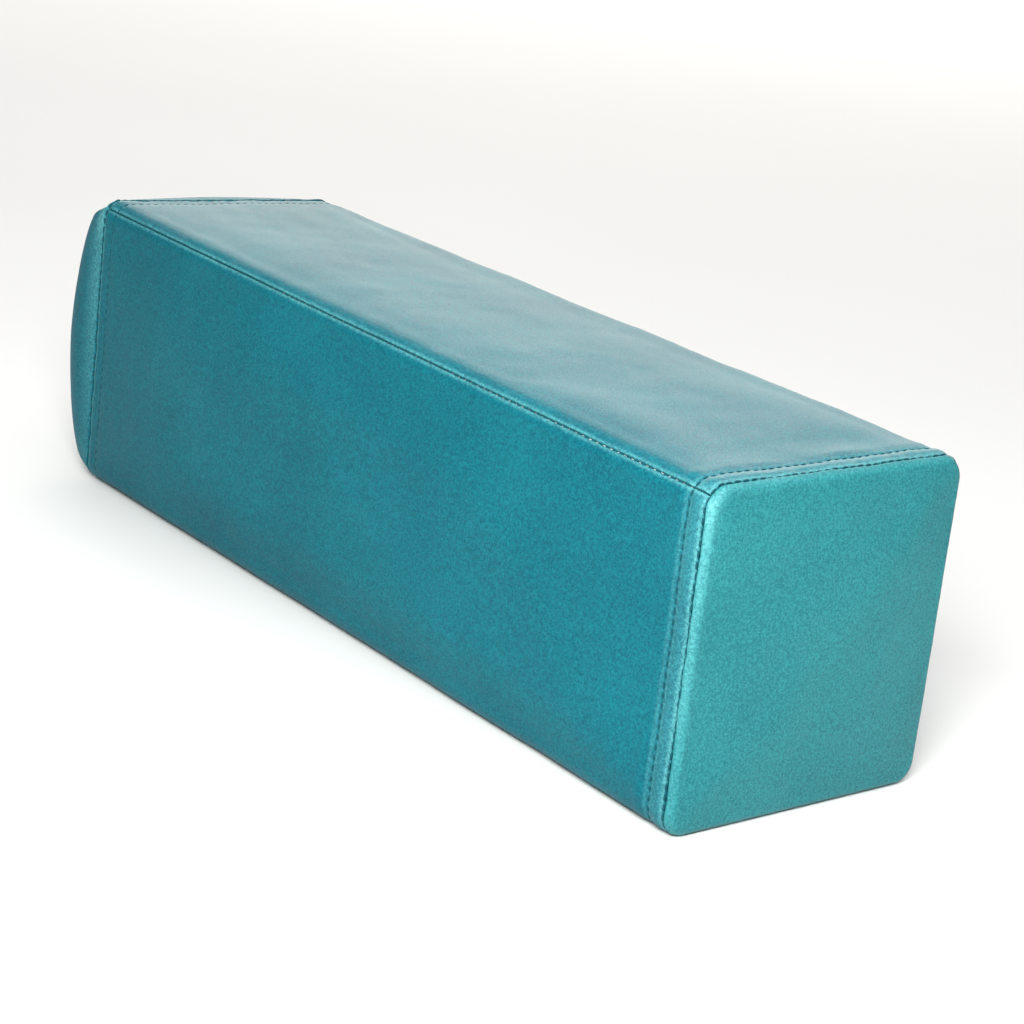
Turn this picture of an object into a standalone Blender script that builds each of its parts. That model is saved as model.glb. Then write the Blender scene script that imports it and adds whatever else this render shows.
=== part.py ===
"""Square bolster pillow for a massage table: a foam block in a sewn, zipped PU leather cover.

The pillow lies on one long side. +X runs along its length, -Y is the front, +Z is up, and the
origin is in the middle of the base. All sizes are in metres.
"""

import math

import bmesh
import bpy
from mathutils import Matrix, Vector

# Overall size
BODY_LENGTH = 0.478  # from end plane to end plane, without the puffed ends
BODY_WIDTH = 0.145
BODY_HEIGHT = 0.150
LONG_EDGE_RADIUS = 0.010
LEFT_CROWN = 0.028  # how far the left end puffs out past its end plane
RIGHT_CROWN = 0.007

# Clearances
TOUCH_GAP = 0.0003  # between pieces that touch on the real pillow

# Cover
SKIN = 0.0014  # PU leather with its knitted backing
SEAM_GAP = 0.0011  # groove between two sewn edges
TOP_SEAM_DROP = 0.004  # the long seams sit this far below the top
END_WRAP = 0.003  # the end panels come this far round onto the body
ALLOWANCE = 0.009  # seam allowance turned in under the body panels
END_SHOULDER = 0.006  # how far in from the rim an end panel's edge is round
LEFT_SHOULDER_RISE = 0.022
RIGHT_SHOULDER_RISE = 0.005

# Threads
THREAD = 0.0004  # diameter
TOPSTITCH_INSET = 0.010  # from the end seam to the row of stitches
STITCH_GROOVE_DEPTH = 0.0008
STITCH_GROOVE_FLOOR = 0.0012
STITCH_GROOVE_MOUTH = 0.0024
ZIP_STITCH_MARGIN = 0.003  # from the opening's edge to its row of stitches

# Filling
WADDING = 0.006
RING_SOFTENS = 0.004  # further in than this, the ends' outlines get rounder
CROWN_FLAT = 0.008  # half width of the small flat in the middle of an end

# Zip, low on the back
ZIP_HEIGHT = 0.024  # centre line above the base
ZIP_OPENING = 0.009
ZIP_ROOM = 0.036  # width left free of wadding behind the zip
TAPE_DEPTH = 0.0022  # from the cover's outside to the tape
TAPE_WIDTH = 0.014
TAPE = 0.0006
COIL_WIDTH = 0.0026
COIL = 0.0017
COIL_SPLIT = 0.0016  # the slider's post passes between the two coils
ZIP_END_MARGIN = 0.003  # from the tape's ends to the stops
STOP_LENGTH = 0.0022

SLIDER_LENGTH = 0.011
SLIDER_WIDTH = 0.0088
SLIDER_PLATE = 0.0010
PLATE_ROUNDING = 0.0003
POST_LENGTH = 0.003
POST_SETBACK = 0.0010  # from the slider's leading end to its post
POST_WIDTH = 0.0009
BRIDGE_LENGTH = 0.0066
BRIDGE_WIDTH = 0.0020
BRIDGE_BAR = 0.0008
BRIDGE_OPENING = 0.0014  # height under the bridge's bar

PULL_BAR = 0.0008  # the bar of the pull tab under the bridge, along the tab
PULL_THICKNESS = 0.0008
PULL_WIDTH = 0.0066
PULL_LENGTH = 0.024
PULL_EYE_LENGTH = 0.0056
PULL_SIDE_CLEARANCE = 0.0004  # between the eye's sides and the bridge

ARC_STEPS = 6
COLLECTION = "bolster_pillow"

# Places that follow from the sizes
LEFT_PLANE = LEFT_CROWN - (BODY_LENGTH + LEFT_CROWN + RIGHT_CROWN) / 2
RIGHT_PLANE = LEFT_PLANE + BODY_LENGTH
LEFT_SEAM = LEFT_PLANE + END_WRAP  # the end panel's edge
RIGHT_SEAM = RIGHT_PLANE - END_WRAP
BODY_START = LEFT_SEAM + SEAM_GAP
BODY_END = RIGHT_SEAM - SEAM_GAP
FILL_START = BODY_START + ALLOWANCE + TOUCH_GAP
FILL_END = BODY_END - ALLOWANCE - TOUCH_GAP
BACK = BODY_WIDTH / 2
COIL_START = FILL_START + ZIP_END_MARGIN + STOP_LENGTH + TOUCH_GAP
COIL_FINISH = FILL_END - ZIP_END_MARGIN - STOP_LENGTH - TOUCH_GAP
SLIDER_REST = COIL_FINISH - SLIDER_LENGTH / 2

HALF_TOP = BODY_WIDTH / 2 - LONG_EDGE_RADIUS
SIDE = BODY_HEIGHT - 2 * LONG_EDGE_RADIUS
CORNER = math.pi / 2 * LONG_EDGE_RADIUS
GIRTH = 4 * HALF_TOP + 2 * SIDE + 4 * CORNER
SEAM_ANGLE = math.acos(1 - TOP_SEAM_DROP / LONG_EDGE_RADIUS)
FRONT_SEAM = HALF_TOP + LONG_EDGE_RADIUS * SEAM_ANGLE
BACK_SEAM = GIRTH - FRONT_SEAM
ZIP_LINE = 3 * HALF_TOP + SIDE + 3 * CORNER + ZIP_HEIGHT - LONG_EDGE_RADIUS


def clear_scene():
    for obj in list(bpy.data.objects):
        bpy.data.objects.remove(obj, do_unlink=True)


def new_collection(name, hidden=False):
    collection = bpy.data.collections.new(name)
    collection.hide_render = hidden
    bpy.context.scene.collection.children.link(collection)
    return collection


def material(name, color, roughness, metallic=0.0):
    made = bpy.data.materials.new(name)
    made.use_nodes = True
    shader = made.node_tree.nodes["Principled BSDF"]
    shader.inputs["Base Color"].default_value = (*color, 1.0)
    shader.inputs["Roughness"].default_value = roughness
    shader.inputs["Metallic"].default_value = metallic
    return made


def finish_mesh(name, bm, look, smooth_angle=40.0):
    """Turns a bmesh into an object of the pillow, shaded smooth up to the given angle."""
    bmesh.ops.recalc_face_normals(bm, faces=bm.faces)
    mesh = bpy.data.meshes.new(name)
    bm.to_mesh(mesh)
    bm.free()
    mesh.shade_smooth()
    mesh.set_sharp_from_angle(angle=math.radians(smooth_angle))
    mesh.materials.append(look)
    obj = bpy.data.objects.new(name, mesh)
    parts.objects.link(obj)
    return obj


def section_point(distance, inset):
    """A point of the body's cross-section, as (y, z).

    distance runs round the outside from the middle of the top, over the front, the base and the
    back; inset is measured in from the outside, square to it.
    """
    left = distance % GIRTH
    straights = (HALF_TOP, SIDE, 2 * HALF_TOP, SIDE)
    low, high = LONG_EDGE_RADIUS, BODY_HEIGHT - LONG_EDGE_RADIUS
    centres = ((-HALF_TOP, high), (-HALF_TOP, low), (HALF_TOP, low), (HALF_TOP, high))
    for quarter, (straight, centre) in enumerate(zip(straights, centres), 1):
        if left <= straight + CORNER:
            face = quarter * math.pi / 2
            turn = face + max(left - straight, 0.0) / LONG_EDGE_RADIUS
            to_go = max(straight - left, 0.0)
            reach = LONG_EDGE_RADIUS - inset
            y = centre[0] + reach * math.cos(turn) + to_go * math.sin(face)
            z = centre[1] + reach * math.sin(turn) - to_go * math.cos(face)
            return y, z
        left -= straight + CORNER
    return HALF_TOP - left, BODY_HEIGHT - inset


def arc_stops(start, end):
    """The distances round the section, between start and end, where a corner's facets meet."""
    stops = []
    for lap in (-1, 0, 1):
        edge = lap * GIRTH + HALF_TOP
        for straight in (SIDE, 2 * HALF_TOP, SIDE, 2 * HALF_TOP):
            stops += [edge + CORNER * step / ARC_STEPS for step in range(ARC_STEPS + 1)]
            edge += CORNER + straight
    tight = 1e-5
    return [start] + [stop for stop in stops if start + tight < stop < end - tight] + [end]


def loft(name, rings, look, closed=False, smooth_angle=40.0):
    """Joins rings of equally many points with quads; the ends are capped, or joined if closed."""
    bm = bmesh.new()
    loops = [[bm.verts.new(point) for point in ring] for ring in rings]
    pairs = list(zip(loops, loops[1:]))
    if closed:
        pairs.append((loops[-1], loops[0]))
    count = len(loops[0])
    for first, second in pairs:
        for i in range(count):
            j = (i + 1) % count
            bm.faces.new((first[i], first[j], second[j], second[i]))
    if not closed:
        bm.faces.new(loops[0])
        bm.faces.new(loops[-1])
    return finish_mesh(name, bm, look, smooth_angle)


def wrap(name, start, end, outside, thickness, stations, look):
    """A sheet wrapped round the body from start to end; stations are (x, depth of its outside)."""
    stops = arc_stops(start, end)
    rings = []
    for x, sunk in stations:
        outer = [section_point(stop, outside + sunk) for stop in stops]
        inner = [section_point(stop, outside + thickness) for stop in reversed(stops)]
        rings.append([(x, y, z) for y, z in outer + inner])
    return loft(name, rings, look)


def block(name, span_x, span_y, span_z, look, rounding=0.0):
    """A block between two limits along each axis, with its edges rounded if asked."""
    low = Vector(min(span) for span in (span_x, span_y, span_z))
    high = Vector(max(span) for span in (span_x, span_y, span_z))
    bm = bmesh.new()
    shape = Matrix.LocRotScale((low + high) / 2, None, high - low)
    bmesh.ops.create_cube(bm, size=1.0, matrix=shape)
    if rounding:
        edges = list(bm.edges)
        bmesh.ops.bevel(
            bm, geom=edges, offset=rounding, segments=2, profile=0.5, affect="EDGES", material=-1
        )
    return finish_mesh(name, bm, look)


def tube(name, points, diameter, look, cyclic=False):
    """A thread along the given points."""
    curve = bpy.data.curves.new(name, "CURVE")
    curve.dimensions = "3D"
    curve.bevel_depth = diameter / 2
    curve.bevel_resolution = 1
    curve.use_fill_caps = not cyclic
    spline = curve.splines.new("POLY")
    spline.points.add(len(points) - 1)
    for point, place in zip(spline.points, points):
        point.co = (*place, 1.0)
    spline.use_cyclic_u = cyclic
    curve.materials.append(look)
    obj = bpy.data.objects.new(name, curve)
    parts.objects.link(obj)
    return obj


def panel_stations():
    """Along the body, the depth of the outside: level, but for the grooves of the end topstitching."""
    floor, mouth = STITCH_GROOVE_FLOOR / 2, STITCH_GROOVE_MOUTH / 2
    stations = [(BODY_START, 0.0)]
    for row in (LEFT_SEAM + TOPSTITCH_INSET, RIGHT_SEAM - TOPSTITCH_INSET):
        stations += [(row - mouth, 0.0), (row - floor, STITCH_GROOVE_DEPTH)]
        stations += [(row + floor, STITCH_GROOVE_DEPTH), (row + mouth, 0.0)]
    return stations + [(BODY_END, 0.0)]


def make_body_panels(leather):
    half = SEAM_GAP / 2
    stations = panel_stations()
    wrap("top_panel", half - FRONT_SEAM, FRONT_SEAM - half, 0.0, SKIN, stations, leather)
    zip_edge = ZIP_LINE - ZIP_OPENING / 2
    wrap("front_base_panel", FRONT_SEAM + half, zip_edge, 0.0, SKIN, stations, leather)
    zip_edge = ZIP_LINE + ZIP_OPENING / 2
    wrap("back_panel", zip_edge, BACK_SEAM - half, 0.0, SKIN, stations, leather)


def end_ring(x, inset):
    """A rounded rectangle inside the body's section; past RING_SOFTENS it gets rounder inwards."""
    half_width = BODY_WIDTH / 2 - inset
    half_height = BODY_HEIGHT / 2 - inset
    radius = LONG_EDGE_RADIUS - inset + 1.5 * max(inset - RING_SOFTENS, 0.0)
    radius = min(radius, 0.9 * half_width)
    ring = [(x, 0.0, BODY_HEIGHT / 2 + half_height)]
    for quarter, (side_y, side_z) in enumerate(((-1, 1), (-1, -1), (1, -1), (1, 1)), 1):
        for step in range(ARC_STEPS + 1):
            turn = math.pi / 2 * (quarter + step / ARC_STEPS)
            y = side_y * (half_width - radius) + radius * math.cos(turn)
            z = side_z * (half_height - radius) + radius * math.sin(turn)
            ring.append((x, y, BODY_HEIGHT / 2 + z))
    return ring


def crown_profile(crown, rise, skin=0.0):
    """An end's face from its seam to its middle, as (inset, distance past the end plane).

    A round shoulder climbs by rise, then the face swells gently by the rest of the crown.
    """
    reach = BODY_WIDTH / 2 - CROWN_FLAT
    swell = crown + END_WRAP - rise
    steps = [END_SHOULDER * (1 - math.cos(math.pi / 2 * k / ARC_STEPS)) for k in range(ARC_STEPS)]
    steps += [END_SHOULDER + (reach - END_SHOULDER) * k / ARC_STEPS for k in range(ARC_STEPS + 1)]
    profile = []
    for step in steps:
        shoulder = math.sqrt(1 - (1 - min(step / END_SHOULDER, 1.0)) ** 2)
        rounded = 1 - (1 - step / reach) ** 2
        height = rise * shoulder + swell * rounded - END_WRAP
        profile.append((step + skin, height - skin))
    return profile


def make_end_panel(side, plane, outward, crown, rise, leather):
    """An end panel: a puffed face whose allowance is turned in under the body panels."""
    lip_outside = SKIN + TOUCH_GAP
    lip_inside = lip_outside + SKIN
    lip_end = -END_WRAP - SEAM_GAP - ALLOWANCE
    root = SKIN - END_WRAP
    face = list(reversed(crown_profile(crown, rise)))
    lip = [(lip_outside, -END_WRAP), (lip_outside, lip_end), (lip_inside, lip_end), (lip_inside, root)]
    lining = [point for point in crown_profile(crown, rise, SKIN) if point[1] > root]
    rings = [end_ring(plane + outward * past, inset) for inset, past in face + lip + lining]
    loft(side + "_end_panel", rings, leather)


def make_end_wadding(side, plane, outward, crown, rise, wadding):
    """The pad between the end of the foam and the inside of an end panel."""
    rim = 2 * (SKIN + TOUCH_GAP)
    root = SKIN + TOUCH_GAP - END_WRAP
    depth = END_WRAP + SEAM_GAP + ALLOWANCE
    lining = crown_profile(crown, rise, SKIN + TOUCH_GAP)
    outline = [(rim, -depth), (rim, root)] + [point for point in lining if point[0] > rim]
    rings = [end_ring(plane + outward * past, inset) for inset, past in outline]
    loft(side + "_end_wadding", rings, wadding)


def make_ends(leather, wadding):
    ends = (
        ("left", LEFT_PLANE, -1, LEFT_CROWN, LEFT_SHOULDER_RISE),
        ("right", RIGHT_PLANE, 1, RIGHT_CROWN, RIGHT_SHOULDER_RISE),
    )
    for end in ends:
        make_end_panel(*end, leather)
        make_end_wadding(*end, wadding)


def make_filling(foam, wadding):
    ends = [(FILL_START, 0.0), (FILL_END, 0.0)]
    start = ZIP_LINE + ZIP_ROOM / 2 - GIRTH
    end = ZIP_LINE - ZIP_ROOM / 2
    wrap("wadding_wrap", start, end, SKIN + TOUCH_GAP, WADDING, ends, wadding)
    core_inset = SKIN + 2 * TOUCH_GAP + WADDING
    loft("foam_core", [end_ring(x, core_inset) for x, _ in ends], foam)


def make_threads(thread):
    """The long seams, the end seams and their topstitching, and the rows beside the zip."""
    in_seam = STITCH_GROOVE_DEPTH + THREAD / 2
    for name, line in (("front_top", FRONT_SEAM), ("back_top", BACK_SEAM)):
        y, z = section_point(line, in_seam)
        tube(name + "_seam_thread", [(BODY_START, y, z), (BODY_END, y, z)], THREAD, thread)
    in_groove = STITCH_GROOVE_DEPTH - TOUCH_GAP - THREAD / 2
    for side, seam, inward in (("left", LEFT_SEAM, 1), ("right", RIGHT_SEAM, -1)):
        ring = end_ring(seam + inward * SEAM_GAP / 2, in_seam)
        tube(side + "_end_seam_thread", ring, THREAD, thread, cyclic=True)
        ring = end_ring(seam + inward * TOPSTITCH_INSET, in_groove)
        tube(side + "_end_topstitch_thread", ring, THREAD, thread, cyclic=True)
    y = BACK + TOUCH_GAP + THREAD / 2
    for name, side in (("lower", -1), ("upper", 1)):
        z = ZIP_HEIGHT + side * (ZIP_OPENING / 2 + ZIP_STITCH_MARGIN)
        row = [(FILL_START, y, z), (FILL_END, y, z)]
        tube(f"zip_{name}_topstitch_thread", row, THREAD, thread)


def make_zip(tape, nylon, metal):
    """The two tapes, the two coils and the stops at the coils' ends."""
    tape_outside = BACK - TAPE_DEPTH
    coil_inside = tape_outside + TOUCH_GAP
    coil_outside = coil_inside + COIL
    for name, side in (("lower", -1), ("upper", 1)):
        edge = ZIP_HEIGHT + side * COIL_SPLIT / 2
        far = edge + side * TAPE_WIDTH
        ends = (FILL_START, FILL_END)
        block(f"zip_tape_{name}", ends, (tape_outside - TAPE, tape_outside), (edge, far), tape)
        far = edge + side * COIL_WIDTH
        depth = (coil_inside, coil_outside)
        block(f"zip_coil_{name}", (COIL_START, COIL_FINISH), depth, (edge, far), nylon)
        ends = (COIL_FINISH + TOUCH_GAP, COIL_FINISH + TOUCH_GAP + STOP_LENGTH)
        block(f"zip_top_stop_{name}", ends, depth, (edge, far), metal)
    ends = (COIL_START - TOUCH_GAP - STOP_LENGTH, COIL_START - TOUCH_GAP)
    reach = COIL_SPLIT / 2 + COIL_WIDTH
    across = (ZIP_HEIGHT - reach, ZIP_HEIGHT + reach)
    block("zip_bottom_stop", ends, (coil_inside, coil_outside), across, metal)


def make_slider(metal):
    """The slider, closed against the top stops, and its pull tab, which lies flat along the zip.

    Both are made about empties: the carriage at the cover's outside, in the middle of the slider,
    and the hinge on the axis of the pull tab's bar.
    """
    carriage = empty("zip_carriage", (SLIDER_REST, BACK, ZIP_HEIGHT))
    half_length, half_width = SLIDER_LENGTH / 2, SLIDER_WIDTH / 2
    outer_low = COIL + TOUCH_GAP - TAPE_DEPTH + TOUCH_GAP
    outer_high = outer_low + SLIDER_PLATE
    inner_high = -TAPE_DEPTH - TAPE - TOUCH_GAP
    inner_low = inner_high - SLIDER_PLATE
    length, width = (-half_length, half_length), (-half_width, half_width)
    plate = block("zip_slider", length, (outer_low, outer_high), width, metal, PLATE_ROUNDING)
    inner = block("slider_inner_plate", length, (inner_low, inner_high), width, metal, PLATE_ROUNDING)
    post_ends = (half_length - POST_SETBACK - POST_LENGTH, half_length - POST_SETBACK)
    post_depth = (inner_low + SLIDER_PLATE / 2, outer_high - SLIDER_PLATE / 2)
    post = block("slider_post", post_ends, post_depth, (-POST_WIDTH / 2, POST_WIDTH / 2), metal)
    opening_top = outer_high + BRIDGE_OPENING
    bridge = bridge_arch("slider_bridge", outer_high, opening_top, metal)
    for piece in (post, inner, bridge):
        combine(plate, piece, "UNION")
    for piece in (plate, post, inner, bridge):
        piece.parent = carriage

    hinge = empty("zip_pull_hinge", (0.0, outer_high + BRIDGE_OPENING / 2, 0.0))
    hinge.parent = carriage
    half_bar, half_pull = PULL_BAR / 2, PULL_WIDTH / 2
    flat = (-PULL_THICKNESS / 2, PULL_THICKNESS / 2)
    lengthwise = (half_bar - PULL_LENGTH, half_bar)
    pull = block("zip_pull_tab", lengthwise, flat, (-half_pull, half_pull), metal)
    half_eye = BRIDGE_WIDTH / 2 + PULL_SIDE_CLEARANCE
    eye_ends = (-half_bar - PULL_EYE_LENGTH, -half_bar)
    through = (-2 * PULL_THICKNESS, 2 * PULL_THICKNESS)
    eye = block("pull_eye", eye_ends, through, (-half_eye, half_eye), metal)
    combine(pull, eye, "DIFFERENCE")
    for piece in (pull, eye):
        piece.parent = hinge


def empty(name, place):
    made = bpy.data.objects.new(name, None)
    made.location = place
    parts.objects.link(made)
    return made


def bridge_arch(name, low, opening_top, metal):
    """The bridge over the slider's outer plate: an arch seen from the side, as wide as the bar."""
    half, foot, sunk = BRIDGE_LENGTH / 2, BRIDGE_BAR, low - SLIDER_PLATE / 2
    top = opening_top + BRIDGE_BAR
    outline = [(-half, sunk), (-half, top - foot / 2), (foot / 2 - half, top)]
    outline += [(half - foot / 2, top), (half, top - foot / 2), (half, sunk)]
    outline += [(half - foot, sunk), (half - foot, opening_top)]
    outline += [(foot - half, opening_top), (foot - half, sunk)]
    half_width = BRIDGE_WIDTH / 2
    rings = [[(x, y, z) for x, y in outline] for z in (-half_width, half_width)]
    return loft(name, rings, metal)


def combine(obj, other, operation):
    """Joins or cuts obj with other, which is hidden among the cutters."""
    for holder in list(other.users_collection):
        holder.objects.unlink(other)
    cutters.objects.link(other)
    other.hide_render = True
    other.display_type = "WIRE"
    modifier = obj.modifiers.new(operation.lower() + "_" + other.name, "BOOLEAN")
    modifier.operation = operation
    modifier.solver = "EXACT"
    modifier.object = other


clear_scene()
parts = new_collection(COLLECTION)
cutters = new_collection("cutters", hidden=True)

pu_leather = material("turquoise_pu_leather", (0.035, 0.27, 0.32), 0.42)
polyester_thread = material("polyester_thread", (0.02, 0.16, 0.19), 0.7)
polyester_wadding = material("polyester_wadding", (0.86, 0.87, 0.86), 0.95)
polyurethane_foam = material("polyurethane_foam", (0.82, 0.74, 0.50), 0.9)
zip_tape_cloth = material("zip_tape_cloth", (0.02, 0.17, 0.20), 0.85)
zip_nylon = material("zip_nylon", (0.02, 0.18, 0.21), 0.4)
zip_nickel = material("zip_nickel", (0.62, 0.61, 0.58), 0.28, 1.0)

make_body_panels(pu_leather)
make_ends(pu_leather, polyester_wadding)
make_filling(polyurethane_foam, polyester_wadding)
make_threads(polyester_thread)
make_zip(zip_tape_cloth, zip_nylon, zip_nickel)
make_slider(zip_nickel)
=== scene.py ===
"""The looks of a square bolster pillow: a foam block in a sewn, zipped PU leather cover.

Everything is in metres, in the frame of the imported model: +X along the pillow, -Y its front, +Z up,
with the origin in the middle of the base. The pillow is dressed from the inside out.
"""

import math

import bmesh
import bpy
from mathutils import Matrix, Vector, noise
from mathutils.bvhtree import BVHTree


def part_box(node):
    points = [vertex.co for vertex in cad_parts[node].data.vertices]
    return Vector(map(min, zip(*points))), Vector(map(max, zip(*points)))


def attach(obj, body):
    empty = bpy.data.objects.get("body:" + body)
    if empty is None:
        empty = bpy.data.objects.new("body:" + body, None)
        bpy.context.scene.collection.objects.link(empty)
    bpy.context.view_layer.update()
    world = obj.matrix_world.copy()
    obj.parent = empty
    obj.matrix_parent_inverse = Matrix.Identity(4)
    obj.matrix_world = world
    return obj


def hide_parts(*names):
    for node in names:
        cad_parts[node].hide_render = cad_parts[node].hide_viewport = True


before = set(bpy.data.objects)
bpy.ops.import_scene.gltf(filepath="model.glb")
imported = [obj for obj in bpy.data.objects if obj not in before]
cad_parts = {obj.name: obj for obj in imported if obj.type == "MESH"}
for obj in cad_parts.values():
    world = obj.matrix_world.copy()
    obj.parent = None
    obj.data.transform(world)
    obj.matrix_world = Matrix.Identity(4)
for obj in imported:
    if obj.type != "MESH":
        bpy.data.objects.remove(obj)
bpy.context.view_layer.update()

# ---------------------------------------------------------------------------------------------
# Filling: a block of open-cell polyurethane foam, cut square, with a sheet of polyester wadding
# wrapped round it and a wadding pad at each end. The cover closes over it, and takes its shape.

FOAM_PORE = (0.55, 0.47, 0.26)
FOAM_WALL = (0.86, 0.78, 0.55)
PORES_PER_METRE = 700.0
WADDING_SHADE = (0.66, 0.68, 0.68)
WADDING_WHITE = (0.93, 0.94, 0.93)


class Wire:
    """A socket's value in a material. Arithmetic on it adds the Math nodes."""

    def __init__(self, socket):
        self.socket = socket

    def math(self, operation, other, swapped=False):
        tree = self.socket.id_data
        worker = tree.nodes.new("ShaderNodeMath")
        worker.operation = operation
        values = [other, self] if swapped else [self, other]
        for slot, value in zip(worker.inputs, values):
            feed(tree, slot, value)
        return Wire(worker.outputs[0])

    def __add__(self, other):
        return self.math("ADD", other)

    def __sub__(self, other):
        return self.math("SUBTRACT", other)

    def __rsub__(self, other):
        return self.math("SUBTRACT", other, swapped=True)

    def __mul__(self, other):
        return self.math("MULTIPLY", other)

    def clamped(self):
        return self.math("MAXIMUM", 0.0).math("MINIMUM", 1.0)

    __radd__ = __add__
    __rmul__ = __mul__


def feed(tree, slot, value):
    """Links a wire to a node's socket, or sets the socket to a number or a colour."""
    if isinstance(value, Wire):
        tree.links.new(value.socket, slot)
    elif isinstance(value, tuple) and len(value) == 3 and slot.type == "RGBA":
        slot.default_value = (*value, 1.0)
    else:
        slot.default_value = value


class Finish:
    """One material: its Principled shader and the nodes that vary it over the surface."""

    def __init__(self, name, roughness=0.5, ior=1.5, metallic=0.0):
        self.material = bpy.data.materials.new(name)
        self.material.use_nodes = True
        self.tree = self.material.node_tree
        self.shader = self.tree.nodes["Principled BSDF"]
        self.set("Roughness", roughness)
        self.set("IOR", ior)
        self.set("Metallic", metallic)

    def set(self, socket, value):
        feed(self.tree, self.shader.inputs[socket], value)

    def node(self, kind, settings, sockets, output=0):
        """A node of any kind: its settings first, then its sockets' values or links."""
        made = self.tree.nodes.new("ShaderNode" + kind)
        for name, value in settings.items():
            setattr(made, name, value)
        for name, value in sockets.items():
            feed(self.tree, made.inputs[name], value)
        return Wire(made.outputs[output])

    def place(self):
        return self.node("TexCoord", {}, {}, "Object")

    def speckle(self, place, scale, detail=2.0):
        sockets = {"Vector": place, "Scale": scale, "Detail": detail}
        return self.node("TexNoise", {}, sockets, "Fac")

    def cells(self, place, scale, feature="F1"):
        sockets = {"Vector": place, "Scale": scale}
        return self.node("TexVoronoi", {"feature": feature}, sockets, "Distance")

    def blend(self, amount, first, second):
        """Two colours mixed by a factor."""
        mix = self.tree.nodes.new("ShaderNodeMix")
        mix.data_type = "RGBA"
        for slot, value in zip((mix.inputs[0], mix.inputs[6], mix.inputs[7]), (amount, first, second)):
            feed(self.tree, slot, value)
        return Wire(mix.outputs[2])

    def relief(self, height, strength, depth):
        sockets = {"Height": height, "Strength": strength, "Distance": depth}
        self.set("Normal", self.node("Bump", {}, sockets, "Normal"))


def foam_finish():
    foam = Finish("polyurethane_foam", roughness=0.92)
    pores = foam.cells(foam.place(), PORES_PER_METRE)
    foam.set("Base Color", foam.blend(pores, FOAM_PORE, FOAM_WALL))
    foam.relief(pores, 0.8, 0.0006)
    return foam.material


def wadding_finish():
    wadding = Finish("polyester_wadding", roughness=0.97)
    fibres = wadding.speckle(wadding.place(), 420.0, 6.0)
    wadding.set("Base Color", wadding.blend(fibres, WADDING_SHADE, WADDING_WHITE))
    wadding.relief(fibres, 0.7, 0.0012)
    return wadding.material


def give_finish(nodes, finish):
    """Puts a finish on CAD nodes that stay in sight as they are."""
    for name in nodes:
        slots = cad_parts[name].data.materials
        slots.clear()
        slots.append(finish)


give_finish(["foam_core"], foam_finish())
WADDING_FINISH = wadding_finish()
give_finish(["wadding_wrap"], WADDING_FINISH)

# ---------------------------------------------------------------------------------------------
# Cover, shape: the sewn cover as the filling holds it, as one smooth skin. It is a long box with
# rounded edges. The right end is pulled nearly flat, and the left end is stuffed until it puffs out.

BODY_LOW, BODY_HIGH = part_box("front_base_panel")
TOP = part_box("top_panel")[1].z
EDGE_RADIUS = 0.010
HALF_FLAT = BODY_HIGH.y - EDGE_RADIUS  # half the flat width of the top
FACE_FLAT = TOP - 2 * EDGE_RADIUS  # the flat height of the front
CORNER = math.pi / 2 * EDGE_RADIUS
GIRTH = 4 * HALF_FLAT + 2 * FACE_FLAT + 4 * CORNER
TOP_SPAN = 2 * HALF_FLAT + CORNER  # one face, from the middle of one rounded edge to the next
FACE_SPAN = FACE_FLAT + CORNER

TOP_SEAM_DROP = 0.004
FRONT_SEAM = HALF_FLAT + EDGE_RADIUS * math.acos(1 - TOP_SEAM_DROP / EDGE_RADIUS)
BACK_SEAM = GIRTH - FRONT_SEAM
ZIP_HEIGHT = (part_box("zip_coil_lower")[0].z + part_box("zip_coil_upper")[1].z) / 2
ZIP_LINE = 1.5 * TOP_SPAN + FACE_SPAN + CORNER / 2 + ZIP_HEIGHT - EDGE_RADIUS
LEAN = 0.0030  # how much further the right end's foot reaches than its top
LEFT_RISE = 0.0028  # how much the stuffing lifts the top's front edge at the left end
FLOOR_CLEARANCE = 0.0002
RIGHT_END = {"outward": 1, "wall": 0.0036, "shoulder": 0.0042, "flare": 0.0, "crown": 0.0080}
LEFT_END = {"outward": -1, "wall": 0.0308, "shoulder": 0.0062, "flare": 0.0062, "crown": 0.0385}
LEFT_FULLNESS = (1.0, 0.60, 0.55)  # of the front and back, the top and the base
LEFT_PINCH = 0.10  # how full its corners still are
UNFLARED = 0.6  # the fullness at which a shoulder neither flares nor sinks
SWELL_POWER = 2.1  # how round an end's face is
RIM_FADE = 0.010  # how far in from the rim an end keeps the section's rounded outline


def section_point(distance, lift):
    """A point of the cross-section as (y, z), distance round from the top's middle by the front."""
    left = distance % GIRTH
    low, high = EDGE_RADIUS, TOP - EDGE_RADIUS
    centres = ((-HALF_FLAT, high), (-HALF_FLAT, low), (HALF_FLAT, low), (HALF_FLAT, high))
    straights = (HALF_FLAT, FACE_FLAT, 2 * HALF_FLAT, FACE_FLAT)
    for quarter, (straight, centre) in enumerate(zip(straights, centres), 1):
        if left <= straight + CORNER:
            face = quarter * math.pi / 2
            turn = face + max(left - straight, 0.0) / EDGE_RADIUS
            to_go = max(straight - left, 0.0)
            reach = EDGE_RADIUS + lift
            y = centre[0] + reach * math.cos(turn) + to_go * math.sin(face)
            z = centre[1] + reach * math.sin(turn) - to_go * math.cos(face)
            return y, z
        left -= straight + CORNER
    return HALF_FLAT - left, TOP + lift


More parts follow.
